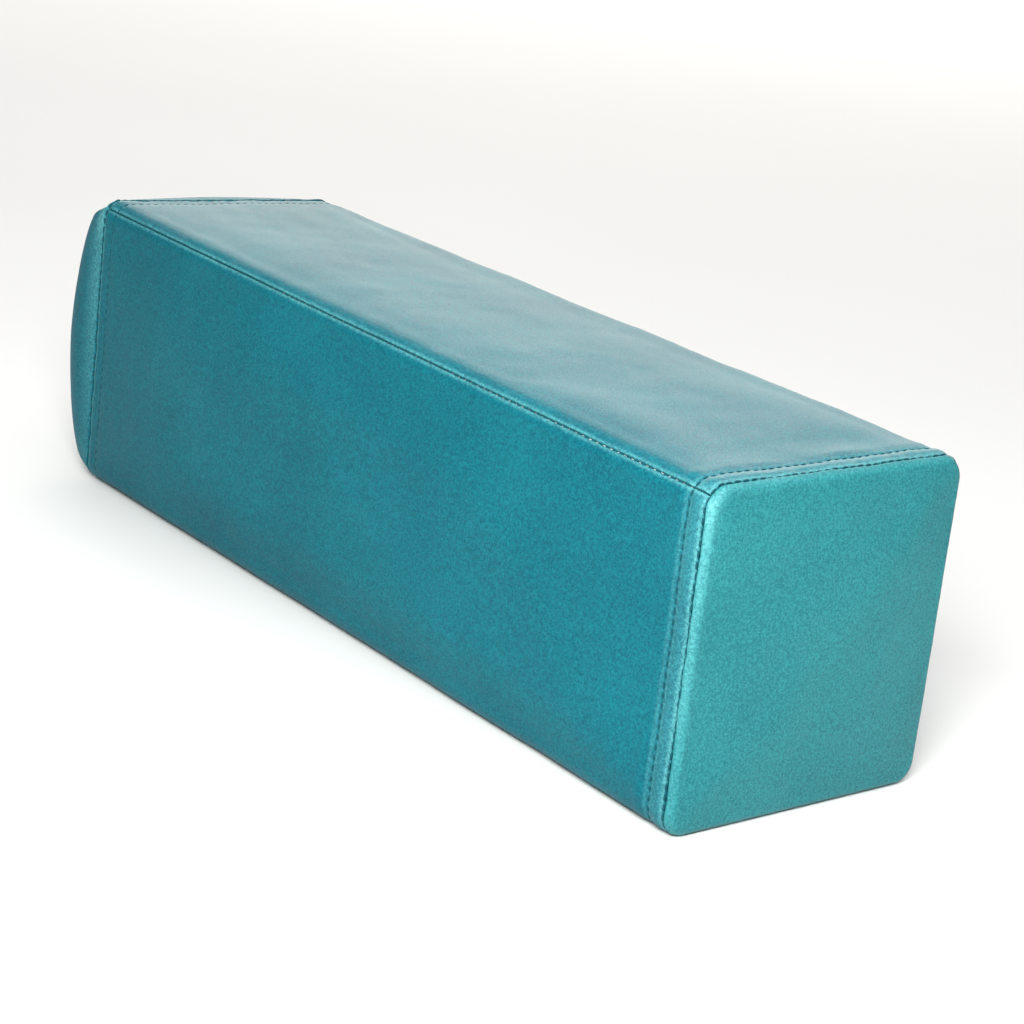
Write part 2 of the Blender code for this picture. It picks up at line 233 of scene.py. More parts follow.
def leaned(x, y, z):
    """The same point once the right end leans and the left end's front edge is stuffed up."""
    along = min(max((x - BODY_LOW.x) / (BODY_HIGH.x - BODY_LOW.x), 0.0), 1.0)
    forward = 0.35 - 0.65 * y / BODY_HIGH.y  # 1 at the front, below 0 at the back
    rise = LEFT_RISE * (z / TOP) ** 2 * forward * (1 - along) ** 1.5
    return Vector((x + LEAN * (1 - z / TOP) * along**3, y, max(z + rise, FLOOR_CLEARANCE)))


def cover_point(x, distance, lift):
    return leaned(x, *section_point(distance, lift))


def end_profile(turn, across, wall, shoulder, flare, crown, fullness, **_):
    """A point up the end's shoulder and over its face, as (inset from the section, past the seam)."""
    if across <= 0:
        bulge = flare * (fullness - UNFLARED) * math.sin(2 * turn)
        return shoulder * (1 - math.cos(turn)) - bulge, wall * fullness * math.sin(turn)
    full = fullness + (1 - fullness) * (1 - (1 - across) ** 3)
    swell = 1 - (1 - across) ** SWELL_POWER
    return shoulder + (BODY_HIGH.y - shoulder) * across, wall * full + (crown - wall) * swell


def square_to_section(across, up):
    """For a point of the square end grid: its distance round the section, ring and fullness."""
    ring = max(abs(across), abs(up))
    if ring < 1e-9:
        return 0.0, 0.0, 1.0
    a, b = across / ring, up / ring
    middling = (1.015 - min(abs(a), abs(b)) ** 1.6) ** 0.4  # near 1 until close to a corner
    if b >= 1 - 1e-9:
        side, distance = 1, -a * TOP_SPAN / 2
    elif a <= -1 + 1e-9:
        side, distance = 0, TOP_SPAN / 2 + (1 - b) / 2 * FACE_SPAN
    elif b <= -1 + 1e-9:
        side, distance = 2, TOP_SPAN / 2 + FACE_SPAN + (a + 1) / 2 * TOP_SPAN
    else:
        side, distance = 0, 1.5 * TOP_SPAN + FACE_SPAN + (b + 1) / 2 * FACE_SPAN
    return distance, ring, LEFT_PINCH + (LEFT_FULLNESS[side] - LEFT_PINCH) * middling


def end_point(distance, inset, past, outward):
    """A point of an end panel: rounded like the section at the rim, shrinking to the middle."""
    y, z = section_point(distance, 0.0)
    rim_y, rim_z = section_point(distance, -inset)
    scale = max(1 - inset / BODY_HIGH.y, 0.0)
    near = math.exp(-max(inset, 0.0) / RIM_FADE)
    y = rim_y * near + y * scale * (1 - near)
    z = rim_z * near + (TOP / 2 + (z - TOP / 2) * scale) * (1 - near)
    return leaned((BODY_HIGH.x if outward > 0 else BODY_LOW.x) + outward * past, y, z)


def base_contact(distance):
    """1 on the base, where the floor holds the cover flat, fading to 0 up the lower edges."""
    apart = abs(distance % GIRTH - TOP_SPAN - FACE_SPAN)
    return min(max((HALF_FLAT + CORNER - apart) / CORNER, 0.0), 1.0)


SKIN_STEPS = 14  # half the facets across an end of the coarse skin
SKIN_LENGTH_STEPS = 80
SKIN_VOXEL = 0.006
PRESSURE = 4.0
BLOW_FRAMES = 20
PUFF_CAP = 0.0055  # the furthest that the filling pushes the cover
SEAM_HOLD = 0.0065  # how far beside a seam its thread holds the cover still
BASE_HOLD = 0.0015  # as high as the floor does


def coarse_skin():
    """The whole cover as one closed skin, for the filling to push out."""
    bm = bmesh.new()
    rims = set()
    for shape in (LEFT_END, RIGHT_END):
        made = bmesh.ops.create_grid(bm, x_segments=2 * SKIN_STEPS, y_segments=2 * SKIN_STEPS, size=1.0)
        for point in made["verts"]:
            distance, ring, fullness = square_to_section(point.co.x, point.co.y)
            fullness = fullness if shape is LEFT_END else 1.0
            if ring > 1 - 1e-6:
                rims.add(round(distance % GIRTH, 7))
            climb = (1 - ring) * 3  # up to 1 on the shoulder, and on over the face
            turn = min(climb, 1) * math.pi / 2
            inset, past = end_profile(turn, (climb - 1) / 2, fullness=fullness, **shape)
            point.co = end_point(distance, inset, past, shape["outward"])
    rims = sorted(rims)
    made = bmesh.ops.create_grid(bm, x_segments=SKIN_LENGTH_STEPS, y_segments=len(rims), size=0.5)
    for point in made["verts"]:
        along = point.co.x + 0.5
        x = BODY_LOW.x + (BODY_HIGH.x - BODY_LOW.x) * along
        turn = round((point.co.y + 0.5) * len(rims)) % len(rims)
        point.co = cover_point(x, rims[turn], 0.0)
    bmesh.ops.remove_doubles(bm, verts=bm.verts, dist=0.0004)
    bmesh.ops.recalc_face_normals(bm, faces=bm.faces)
    mesh = bpy.data.meshes.new("coarse_skin")
    bm.to_mesh(mesh)
    bm.free()
    return mesh


def seam_distance(point):
    """How near a point of the skin is to a sewn line."""
    to_left = abs(point.x - BODY_LOW.x)
    to_right = abs(point.x - leaned(BODY_HIGH.x, 0, point.z).x)
    lines = [cover_point(0.0, line, 0.0) for line in (FRONT_SEAM, BACK_SEAM, ZIP_LINE)]
    to_line = min(math.hypot(point.y - line.y, point.z - line.z) for line in lines)
    between = BODY_LOW.x < point.x < BODY_HIGH.x
    return min(to_left, to_right, to_line if between else 1.0)


def blown_skin():
    """Lets the pressure of the filling push the skin out between its seams, as cloth."""
    skin = bpy.data.objects.new("coarse_skin", coarse_skin())
    scene = bpy.context.scene
    scene.collection.objects.link(skin)
    remesh = skin.modifiers.new("voxels", "REMESH")
    remesh.mode = "VOXEL"
    remesh.voxel_size = SKIN_VOXEL
    bpy.context.view_layer.update()
    even = bpy.data.meshes.new_from_object(skin.evaluated_get(bpy.context.evaluated_depsgraph_get()))
    skin.modifiers.clear()
    skin.data = even
    rest = [point.co.copy() for point in even.vertices]
    held = skin.vertex_groups.new(name="held")
    for index, place in enumerate(rest):
        if place.z < BASE_HOLD or seam_distance(place) < SEAM_HOLD:
            held.add([index], 1.0, "REPLACE")
    cloth = skin.modifiers.new("cloth", "CLOTH")
    cloth.settings.use_pressure = True
    cloth.settings.uniform_pressure_force = PRESSURE
    cloth.settings.effector_weights.gravity = 0.0
    cloth.settings.vertex_group_mass = "held"
    cloth.settings.quality = 5
    cloth.collision_settings.use_collision = False
    cloth.point_cache.frame_start = 1
    cloth.point_cache.frame_end = BLOW_FRAMES
    for step in range(1, BLOW_FRAMES + 1):
        scene.frame_set(step)
    shaped = skin.evaluated_get(bpy.context.evaluated_depsgraph_get()).data
    pushes = [after.co - before for after, before in zip(shaped.vertices, rest)]
    scene.frame_set(1)
    pushes = [push * (PUFF_CAP / max(push.length, PUFF_CAP)) for push in pushes]
    faces = [tuple(face.vertices) for face in even.polygons]
    bpy.data.objects.remove(skin)
    return BVHTree.FromPolygons(rest, faces), faces, rest, pushes


BLOWN = blown_skin()


def push_at(place):
    """The blown skin's movement at a place, blended from the nearest facet's corners."""
    tree, faces, rest, pushes = BLOWN
    _, _, index, _ = tree.find_nearest(place)
    total = Vector((0.0, 0.0, 0.0))
    weights = 0.0
    for corner in faces[index]:
        weight = 1 / ((rest[corner] - place).length_squared + 1e-7)
        total += pushes[corner] * weight
        weights += weight
    return total / weights


# ---------------------------------------------------------------------------------------------
# Cover, body: turquoise PU leather on a knitted backing, in three panels. One runs from the front
# top seam down the front, under the base and up to the zip, one closes the back and one the top.
# Each edge is turned in and lockstitched, so the leather rolls over into a narrow groove there.

ZIP_OPENING = 0.0102
SEAM_GAP = 0.0004  # across the bottom of a groove
FOLD_RADIUS = 0.0009
FOLD_DEPTH = 0.0026  # how deep the turned-in edge can be seen
LAP_DEPTH = 0.0034  # the allowance under the neighbour, which closes the groove
LAP_WIDTH = 0.004
LEATHER = 0.0007
STITCH_PITCH = 0.0045
STITCH_DIP = 0.0006
STITCH_DIP_WIDTH = 0.0011
GATHER_REACH = 0.0042  # from a sewn line
GATHER_TUCK = 0.0004
FINE_GATHERS = (0.00030, 0.0030, 11)  # height, size and seed of the irregularity
BROAD_GATHERS = (0.00045, 0.0080, 12)
STITCH_ROWS = {
    side: sum(corner.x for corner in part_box(side + "_end_topstitch_thread")) / 2
    for side in ("left", "right")
}


def wander(x, distance, height, size, seed):
    """Smooth irregularity over the cover, up to a height, which closes up round the section."""
    angle = 2 * math.pi * distance / GIRTH
    radius = GIRTH / (2 * math.pi)
    place = Vector((x, radius * math.cos(angle), radius * math.sin(angle)))
    return height * noise.noise(place / size + Vector((seed, 3.7 * seed, -seed)))


def bump(apart, width):
    return math.exp(-((apart / width) ** 2))


def pucker(along):
    """The leather's rise and fall along a row of stitches, deepest under each stitch."""
    return 0.60 - 0.40 * math.cos(2 * math.pi * along / STITCH_PITCH)


def gathers(off_line, x, distance):
    """Small folds beside a sewn line, where the thread draws the leather in."""
    fade = math.exp(-abs(off_line) / GATHER_REACH)
    fine = wander(x, distance, *FINE_GATHERS)
    return (fine + wander(x, distance, *BROAD_GATHERS) - GATHER_TUCK) * fade


STRIP_REACH = 0.045  # nothing beyond this is shaped by the strip
STRIP_LIFT = 0.0009
STRIP_MIDDLE = 0.0048  # from the row of topstitches, towards the seam
STRIP_HALF = 0.0036
RIDGE_LIFT = 0.0004
RIDGE_WANDER = (0.0007, 0.03, 21)
RIDGE_MIDDLE = 0.0055  # from the row, away from the seam
RIDGE_HALF = 0.0042
OTHER_GATHERS = 0.5  # a place round the section whose gathers differ


def end_strip(x, distance):
    """The double strip beside each end seam: raised, then drawn down by the row of topstitches."""
    lift = 0.0
    for side, seam, inward, size in (("left", BODY_LOW.x, 1, 0.25), ("right", BODY_HIGH.x, -1, 1.0)):
        off_seam = (x - seam) * inward
        if off_seam > STRIP_REACH:
            continue
        row = (x - STITCH_ROWS[side]) * inward
        lift += size * STRIP_LIFT * bump(row + STRIP_MIDDLE, STRIP_HALF)
        lift -= size * STITCH_DIP * bump(row, STITCH_DIP_WIDTH) * pucker(distance)
        ridge = RIDGE_LIFT + wander(x, distance, *RIDGE_WANDER)
        lift += size * ridge * bump(row - RIDGE_MIDDLE, RIDGE_HALF)
        lift += gathers(off_seam, x, distance) + 0.7 * size * gathers(row, x, distance + OTHER_GATHERS)
    return lift


VALLEY_DEPTH = 0.0008
VALLEY_MIDDLE = STITCH_ROWS["right"] - 0.021
VALLEY_HALF = 0.010
CREASE_HEIGHT = 0.00040
CREASES_FROM = 0.05  # they grow from here to CREASES_GROW further left
CREASES_GROW = 0.25


def top_waves(x, distance):
    """On the top: a soft valley behind the right strip, and faint creases towards the left end."""
    across = (distance + GIRTH / 2) % GIRTH - GIRTH / 2
    if abs(across) > HALF_FLAT:
        return 0.0
    edge = 1 - (abs(across) / HALF_FLAT) ** 4
    uneven = 0.6 + wander(x, distance, 1.0, 0.05, 31)
    valley = -VALLEY_DEPTH * bump(x - VALLEY_MIDDLE, VALLEY_HALF) * uneven
    left = min(max((CREASES_FROM - x) / CREASES_GROW, 0.0), 1.0)
    crease = noise.noise(Vector((x / 0.085 + across / 0.11, across / 0.016 - x / 0.060, 7.0)))
    return edge * (valley + CREASE_HEIGHT * left * crease)


FLAT_TOP = 0.65  # how much less the top swells along its middle than the other faces
SINK_SHARE = 0.1  # how much of an inward pull the filling gives way to
SEAM_REACH = 0.03  # nothing beyond this is shaped by a long seam
ZIP_FLATNESS = 0.011
CORNER_SINK = 0.0011  # of the right end's upper corners
CORNER_LIFTS = {FRONT_SEAM: 0.0005, BACK_SEAM: -0.0012}  # of the left end's upper corners
BROAD_LOOSENESS = (0.0005, 0.045, 3)  # height, size and seed, as for the gathers
FINE_LOOSENESS = (0.00028, 0.018, 4)


def cover_lift(x, distance):
    """How far the cover's body stands out from the plain section at a point."""
    place = cover_point(x, distance, 0.0)
    outward = (cover_point(x, distance, 0.001) - place).normalized()
    lift = push_at(place).dot(outward)
    lift *= 1.0 if lift > 0 else SINK_SHARE
    lift *= 1 - bump(distance - ZIP_LINE, ZIP_FLATNESS)
    across = (distance + GIRTH / 2) % GIRTH - GIRTH / 2
    lift *= 1 - FLAT_TOP * bump(across, HALF_FLAT)
    lift += end_strip(x, distance) + top_waves(x, distance)
    for seam in (FRONT_SEAM, BACK_SEAM):
        off_seam = distance % GIRTH - seam
        if abs(off_seam) < SEAM_REACH:
            lift += 0.8 * gathers(off_seam, x, distance)
            lift -= CORNER_SINK * bump(off_seam, 0.004) * bump(x - BODY_HIGH.x, 0.004)
            lift += CORNER_LIFTS[seam] * bump(off_seam, 0.012) * bump(x - BODY_LOW.x, 0.010)
    loose = wander(x, distance, *BROAD_LOOSENESS) + wander(x, distance, *FINE_LOOSENESS)
    lift += loose * (1 - 0.8 * bump(distance - ZIP_LINE, 0.012))
    return lift * (1 - 0.85 * base_contact(distance)) - FLOOR_CLEARANCE


FINE_PITCH = 0.0005  # of the pattern's grid beside its edges
COLUMN_PITCH = 0.0026
ROW_PITCH = 0.0030
FOLD_STEPS = 5


def graded(start, end, fine, coarse, margin):
    """Stations from start to end, close together within margin of each end."""
    fine_count = round(margin / fine)
    middle = end - start - 2 * margin
    middle_count = max(round(middle / coarse), 1)
    stations = [start + margin * i / fine_count for i in range(fine_count)]
    stations += [start + margin + middle * i / middle_count for i in range(middle_count)]
    stations += [end - margin + margin * i / fine_count for i in range(fine_count + 1)]
    return stations


def turned_edge(lapped):
    """Rows from the hidden allowance up over the fold, as (distance from the edge, drop)."""
    rows = [(-LAP_WIDTH, LAP_DEPTH), (-LAP_WIDTH / 3, LAP_DEPTH)] if lapped else []
    rows += [(0.0, LAP_DEPTH if lapped else FOLD_DEPTH), (0.0, (FOLD_DEPTH + FOLD_RADIUS) / 2)]
    for step in range(FOLD_STEPS):
        turn = math.pi / 2 * step / FOLD_STEPS
        rows.append((FOLD_RADIUS * (1 - math.cos(turn)), FOLD_RADIUS * (1 - math.sin(turn))))
    return rows


def edged(stations, lapped):
    """Stations across a panel as (place, drop), with a turned edge at each end."""
    start, end = stations[0], stations[-1]
    flat = [place for place in stations if start + FOLD_RADIUS <= place <= end - FOLD_RADIUS]
    rows = [(start + away, drop) for away, drop in turned_edge(lapped)]
    rows += [(place, 0.0) for place in flat]
    rows += [(end - away, drop) for away, drop in reversed(turned_edge(lapped))]
    return rows


def flat_panel(columns, rows):
    """A panel as it is cut, flat: x along the pillow, y round it, z how far it is turned in."""
    bm = bmesh.new()
    wide, high = len(columns) - 1, len(rows) - 1
    bmesh.ops.create_grid(bm, x_segments=wide, y_segments=high, size=0.5)
    for point in bm.verts:
        x, end_drop = columns[round((point.co.x + 0.5) * wide)]
        distance, side_drop = rows[round((point.co.y + 0.5) * high)]
        point.co = (x, distance, max(end_drop, side_drop))
    return bm


REFINED_OVER = 0.0013  # edges shorter than this are fine enough


def refine(bm, near, axis, cuts):
    """Divides the edges that run along a sewn line, so that each stitch gets its own pucker."""
    chosen = []
    for edge in bm.edges:
        run = edge.verts[1].co - edge.verts[0].co
        along = abs(run[axis]) > REFINED_OVER and abs(run[1 - axis]) < 1e-6
        if along and all(near(point.co) for point in edge.verts):
            chosen.append(edge)
    bmesh.ops.subdivide_edges(bm, edges=chosen, cuts=cuts, use_grid_fill=True)


def finished_piece(name, bm, material):
    """The piece's object, at the origin, riding on the pillow."""
    mesh = bpy.data.meshes.new(name)
    bm.to_mesh(mesh)
    bm.free()
    mesh.shade_smooth()
    mesh.materials.append(material)
    piece = bpy.data.objects.new(name, mesh)
    bpy.context.scene.collection.objects.link(piece)
    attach(piece, "pillow")
    return piece


def leather_piece(name, bm, finish, rub_and_highlight, node):
    """A panel of the cover, with its wall on the inside and its pale marks (rubbed edges and painted
    highlights) stored for its colour.
    """
    piece = finished_piece(name, bm, finish)
    # Marks for rubbed edges and painted highlights, which the leather's colour reads.
    marks = piece.data.attributes.new("rub_and_highlight", "FLOAT", "POINT")
    marks.data.foreach_set("value", rub_and_highlight)
    wall = piece.modifiers.new("leather", "SOLIDIFY")
    wall.thickness = LEATHER
    wall.offset = -1.0
    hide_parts(node)


PEBBLES_PER_METRE = 1350.0
PEBBLE_SHIFT = 0.0006  # keeps the pebbles from being even
MOTTLE_PER_METRE = 780.0
# The pale colour of rubbed edges and of painted highlights.
RUB_AND_HIGHLIGHT_COLOUR = (0.17, 0.52, 0.55)
PIT_COLOUR = (0.003, 0.085, 0.125)


def leather_finish(name, ior, deep, pale):
    """Pebbled PU leather: paler where rubbed and where highlights are painted, a little darker and bluer
    in the grain.
    """
    leather = Finish(name, ior=ior)
    place = leather.place()
    cloud = leather.speckle(place, 14.0, 4.0)
    mottle = leather.speckle(place, MOTTLE_PER_METRE, 3.0)
    jitter = leather.node("TexNoise", {}, {"Vector": place, "Scale": 900.0}, "Color")
    shifts = {0: jitter, 1: (PEBBLE_SHIFT,) * 3, 2: place}
    bent = leather.node("VectorMath", {"operation": "MULTIPLY_ADD"}, shifts, "Vector")
    pebbles = leather.cells(bent, PEBBLES_PER_METRE)
    creases = leather.cells(bent, PEBBLES_PER_METRE, "DISTANCE_TO_EDGE")
    rub_and_highlight = leather.node("Attribute", {"attribute_name": "rub_and_highlight"}, {}, "Fac")
    grain = ((mottle - 0.5) * 2.4 + (0.42 - pebbles) * 0.9 + (cloud - 0.5) * 0.9 + 0.5).clamped()
    tint = leather.blend(grain, deep, pale)
    # Painted highlights and rubbed edges, marked in one attribute, lighten the colour here.
    rub_and_highlight_amount = (rub_and_highlight * (0.35 + grain * 0.55)).clamped()
    colour = leather.blend(rub_and_highlight_amount, tint, RUB_AND_HIGHLIGHT_COLOUR)
    pits = (1.0 - creases * 6.0).clamped()
    leather.set("Base Color", leather.blend(pits * 0.14, colour, PIT_COLOUR))
    leather.set("Roughness", 0.38 + (mottle - 0.5) * 0.20 + pits * 0.15)
    height = (creases * 4.0).clamped() + mottle * 0.6
    leather.relief(height, 0.40, 0.00018)
    return leather.material


# The top panel's leather is a lighter, glossier copy of the body leather: its lighter colour is painted
# light, for the top that the lamps light most.
PAINTED_LIT_TOP_LEATHER = leather_finish("glossy_top_leather_painted_lit", 1.29, (0.001, 0.096, 0.136), (0.006, 0.184, 0.228))
BODY_LEATHER = leather_finish("turquoise_pu_leather", 1.20, (0.001, 0.086, 0.124), (0.005, 0.168, 0.212))
# The right end panel's leather is a lighter, greener copy: its lighter colour is painted light, for the
# end that faces the lamps.
PAINTED_LIT_END_LEATHER = leather_finish("greener_end_leather_painted_lit", 1.27, (0.010, 0.155, 0.185), (0.030, 0.270, 0.295))
FINE_ENDS = 0.018  # how far from an end, and from a long edge, the grid is fine
FINE_EDGES = 0.006
COLUMNS = edged(graded(BODY_LOW.x, BODY_HIGH.x, FINE_PITCH, COLUMN_PITCH, FINE_ENDS), False)
PUCKERED_ENDS = 0.015  # how far from an end each stitch gets its pucker
PUCKERED_EDGES = 0.0035
FOLD_RUB_AND_HIGHLIGHT = (0.55, FOLD_RADIUS, 0.0010)  # strength, middle and width of a pale line along each fold, partly rubbed and partly a painted highlight
STRIP_HIGHLIGHT = (0.20, 0.005, 0.0042)  # a painted highlight beside the right end's row of topstitches
STITCH_HIGHLIGHT = (0.22, 0.0016, 0.0009)  # a painted highlight close to the row, on both its sides
BODY_PANELS = {
    "top_panel": (PAINTED_LIT_TOP_LEATHER, -FRONT_SEAM, FRONT_SEAM, True),
    "front_base_panel": (BODY_LEATHER, FRONT_SEAM, ZIP_LINE - ZIP_OPENING / 2, False),
    "back_panel": (BODY_LEATHER, ZIP_LINE + ZIP_OPENING / 2, BACK_SEAM, False),
}


def rub_and_highlight_line(place, strength, middle, width):
    """How strongly a line of rubbing and painted highlight paints the leather pale at a place."""
    return strength * bump(place - middle, width)


def body_panel(name, finish, start, end, lapped):
    half = SEAM_GAP / 2
    rows = edged(graded(start + half, end - half, FINE_PITCH, ROW_PITCH, FINE_EDGES), lapped)
    bm = flat_panel(COLUMNS, rows)
    refine(bm, lambda p: min(p.x - BODY_LOW.x, BODY_HIGH.x - p.x) < PUCKERED_ENDS, 1, 1)
    refine(bm, lambda p: min(abs(p.y - start), abs(end - p.y)) < PUCKERED_EDGES, 0, 2)
    rub_and_highlight = []
    for point in bm.verts:
        x, distance, drop = point.co
        point.co = cover_point(x, distance, cover_lift(x, distance) - drop)
        edge = min(x - BODY_LOW.x, BODY_HIGH.x - x, distance - start, end - distance)
        # Along each turned edge: a pale line, partly rubbed and partly a painted highlight.
        fold = rub_and_highlight_line(edge, *FOLD_RUB_AND_HIGHLIGHT) * (1 - min(drop / FOLD_RADIUS, 1.0))
        # Painted highlights on the right strip and close beside its row of topstitches.
        row = x - STITCH_ROWS["right"]
        strip = rub_and_highlight_line(row, *STRIP_HIGHLIGHT) + rub_and_highlight_line(abs(row), *STITCH_HIGHLIGHT)
        rub_and_highlight.append(min(fold + strip, 1.0))
    bmesh.ops.reverse_faces(bm, faces=bm.faces)
    leather_piece(name + "_leather", bm, finish, rub_and_highlight, name)


for name, cut in BODY_PANELS.items():
    body_panel(name, *cut)

# ---------------------------------------------------------------------------------------------
# Cover, ends: a panel of the same leather at each end, the right one in a lighter, greener copy, painted
# light for the lit end. Its allowance is turned in under the body and topstitched to it. Its folded rim
# is painted pale, partly rubbed and partly a painted highlight.

END_LAP = 0.0145  # the allowance under the body, past the row of topstitches
END_LAP_DEPTH = 0.0028
END_ALLOWANCE = ((END_LAP_DEPTH, -END_LAP), (END_LAP_DEPTH, -0.0022), (FOLD_DEPTH, 0.0))
RINGS = 60
END_EDGE_ROWS = len(END_ALLOWANCE) + FOLD_STEPS
SHOULDER_ROWS = 18
FACE_ROWS = RINGS - END_EDGE_ROWS - SHOULDER_ROWS
SEAM_DRAW = 0.0008  # how far the thread draws a rim towards its seam
CORNER_DRAW = 0.0010  # how far an upper corner is drawn in
CORNER_PUSH = 0.0008  # how far the left end's front upper corner is pushed out instead
CORNER_SIZE = 0.006
FACE_FADE = 0.006  # how far in from the rim the face starts to move freely
FINE_RIPPLE = (0.0004, 0.016)  # height and size
BROAD_RIPPLE = (0.0009, 0.042)
RIM_RUB_AND_HIGHLIGHT = {1: (0.52, 0.003, 0.0040), -1: (0.42, 0.003, 0.0065)}  # pale band round the rim, partly rubbed and partly a painted highlight: right end and left end
FRONT_RUB_AND_HIGHLIGHT = (0.65, FRONT_SEAM + 0.035, 0.060)  # the rims' pale band, rubbed and painted highlight, is strongest at the front
OTHER_RUB_AND_HIGHLIGHT = 0.35
# A painted highlight on each end panel at its upper front corner, beside the seam.
CORNER_HIGHLIGHT = (0.5, FRONT_SEAM + 0.006, 0.008)


def end_row(shape, fullness, row):
    """One of an end panel's rings, counted inwards from the hidden allowance."""
    if row < len(END_ALLOWANCE):
        return END_ALLOWANCE[row]
    if row < END_EDGE_ROWS:
        turn = math.pi / 2 * (row - len(END_ALLOWANCE)) / FOLD_STEPS
        return FOLD_RADIUS * (1 - math.sin(turn)), FOLD_RADIUS * (1 - math.cos(turn))
    turn = math.pi / 2 * min((row - END_EDGE_ROWS) / SHOULDER_ROWS, 1)
    across = max(row - END_EDGE_ROWS - SHOULDER_ROWS, 0) / FACE_ROWS
    inset, past = end_profile(turn, across**1.25, fullness=fullness, **shape)
    return inset, past + FOLD_RADIUS


def ripple(place, outward):
    """Slow irregularity over an end's face."""
    height, size = FINE_RIPPLE
    fine = height * noise.noise(Vector((outward, place.y, place.z)) / size)
    height, size = BROAD_RIPPLE
    return fine + height * noise.noise(Vector((outward * 3, place.y, place.z)) / size)


def end_panel(side, shape):
    outward = shape["outward"]
    bm = bmesh.new()
    bmesh.ops.create_grid(bm, x_segments=2 * RINGS, y_segments=2 * RINGS, size=1.0)
    rub_and_highlight = []
    for point in bm.verts:
        distance, ring, fullness = square_to_section(point.co.x, point.co.y)
        fullness = fullness if outward < 0 else 1.0
        row = RINGS - round(ring * RINGS)
        inset, past = end_row(shape, fullness, row)
        off_seam = max(past, 0.0) + max(inset, 0.0)
        shown = 1 if row >= END_EDGE_ROWS else 0
        grip = 1 - 0.8 * base_contact(distance)
        inset -= gathers(off_seam, outward * 0.3, distance) * grip
        beyond_fold = 1 - bump(off_seam - FOLD_RADIUS, 0.0015)
        past -= SEAM_DRAW * bump(off_seam, 0.004) * beyond_fold * shown
        for seam in (FRONT_SEAM, BACK_SEAM):
            drawn = CORNER_DRAW if outward > 0 or seam == BACK_SEAM else -CORNER_PUSH
            drawn *= bump(distance % GIRTH - seam, CORNER_SIZE)
            inset += drawn * bump(off_seam, CORNER_SIZE) * shown
        place = end_point(distance, inset, past + SEAM_GAP, outward)
        face = 1 - math.exp(-max(inset, 0.0) / FACE_FADE)
        place.x += outward * ripple(place, outward) * face
        if shown:
            place += push_at(place) * face
        point.co = place
        # Each end's rim: a pale band, partly rubbed and partly a painted highlight, strongest at the
        # front.
        rim = rub_and_highlight_line(off_seam, *RIM_RUB_AND_HIGHLIGHT[outward]) * shown
        front = OTHER_RUB_AND_HIGHLIGHT + rub_and_highlight_line(distance % GIRTH, *FRONT_RUB_AND_HIGHLIGHT)
        # A painted highlight at the upper front corner, beside the seam.
        corner = rub_and_highlight_line(distance % GIRTH, *CORNER_HIGHLIGHT) * bump(off_seam - 0.003, 0.004)
        rub_and_highlight.append(min(rim * front + corner, 1.0))
    if outward < 0:
        bmesh.ops.reverse_faces(bm, faces=bm.faces)
    # The shaded left end keeps the body leather; the lit right end gets the lighter copy, painted light.
    finish = BODY_LEATHER if outward < 0 else PAINTED_LIT_END_LEATHER
    leather_piece(side + "_end_panel_leather", bm, finish, rub_and_highlight, side + "_end_panel")


PAD_INSET = 0.0032  # under the leather
PAD_CLEARANCE = 0.0005
PAD_STEPS = 22


def end_pad(side, shape):
    """The wadding pad that fills an end: the panel's own shape, cut flat where the foam ends."""
    outward = shape["outward"]
    low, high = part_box(side + "_end_wadding")
    back = low.x if outward > 0 else high.x
    bm = bmesh.new()
    bmesh.ops.create_grid(bm, x_segments=2 * PAD_STEPS, y_segments=2 * PAD_STEPS, size=1.0)
    for point in bm.verts:
        distance, ring, fullness = square_to_section(point.co.x, point.co.y)
        climb = (1 - ring) * 4  # up to 1 on the shoulder, and on over the face
        turn = min(climb, 1) * math.pi / 2
        fullness = fullness if outward < 0 else 1.0
        inset, past = end_profile(turn, (climb - 1) / 3, fullness=fullness, **shape)
        inset += PAD_INSET * ring + PAD_CLEARANCE
        point.co = end_point(distance, inset, past - PAD_INSET, outward)
    rim = [edge for edge in bm.edges if edge.is_boundary]
    drawn = bmesh.ops.extrude_edge_only(bm, edges=rim)["geom"]
    for point in (part for part in drawn if isinstance(part, bmesh.types.BMVert)):
        point.co.x = back
    bmesh.ops.holes_fill(bm, edges=[edge for edge in bm.edges if edge.is_boundary])
    bmesh.ops.recalc_face_normals(bm, faces=bm.faces)
    pad = finished_piece(side + "_end_pad", bm, WADDING_FINISH)
    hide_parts(side + "_end_wadding")


for side, shape in (("left", LEFT_END), ("right", RIGHT_END)):
    end_panel(side, shape)
    end_pad(side, shape)

# ---------------------------------------------------------------------------------------------
# Stitching: bonded polyester thread in the cover's own colour, a shade darker. Lockstitches lie in
# the long top seams, the end seams, a row of topstitches beside each end and both sides of the zip.

STITCH_LENGTH = 0.0031
STITCH_WIDTH = 0.00115
STITCH_STEP = 0.0005  # along the cover, to find which way a stitch runs
SEAM_THREAD_DROP = 0.00045  # how deep the rows lie below the leather
END_THREAD_DROP = 0.00008
TOPSTITCH_DROP = {"left": 0.00022, "right": -0.00018}
ZIP_THREAD_DROP = -0.0001
ZIP_STITCH_MARGIN = 0.0026  # from the opening's edge to its row of stitches
THREAD_DEEP = (0.001, 0.042, 0.060)
THREAD_PALE = (0.004, 0.092, 0.120)


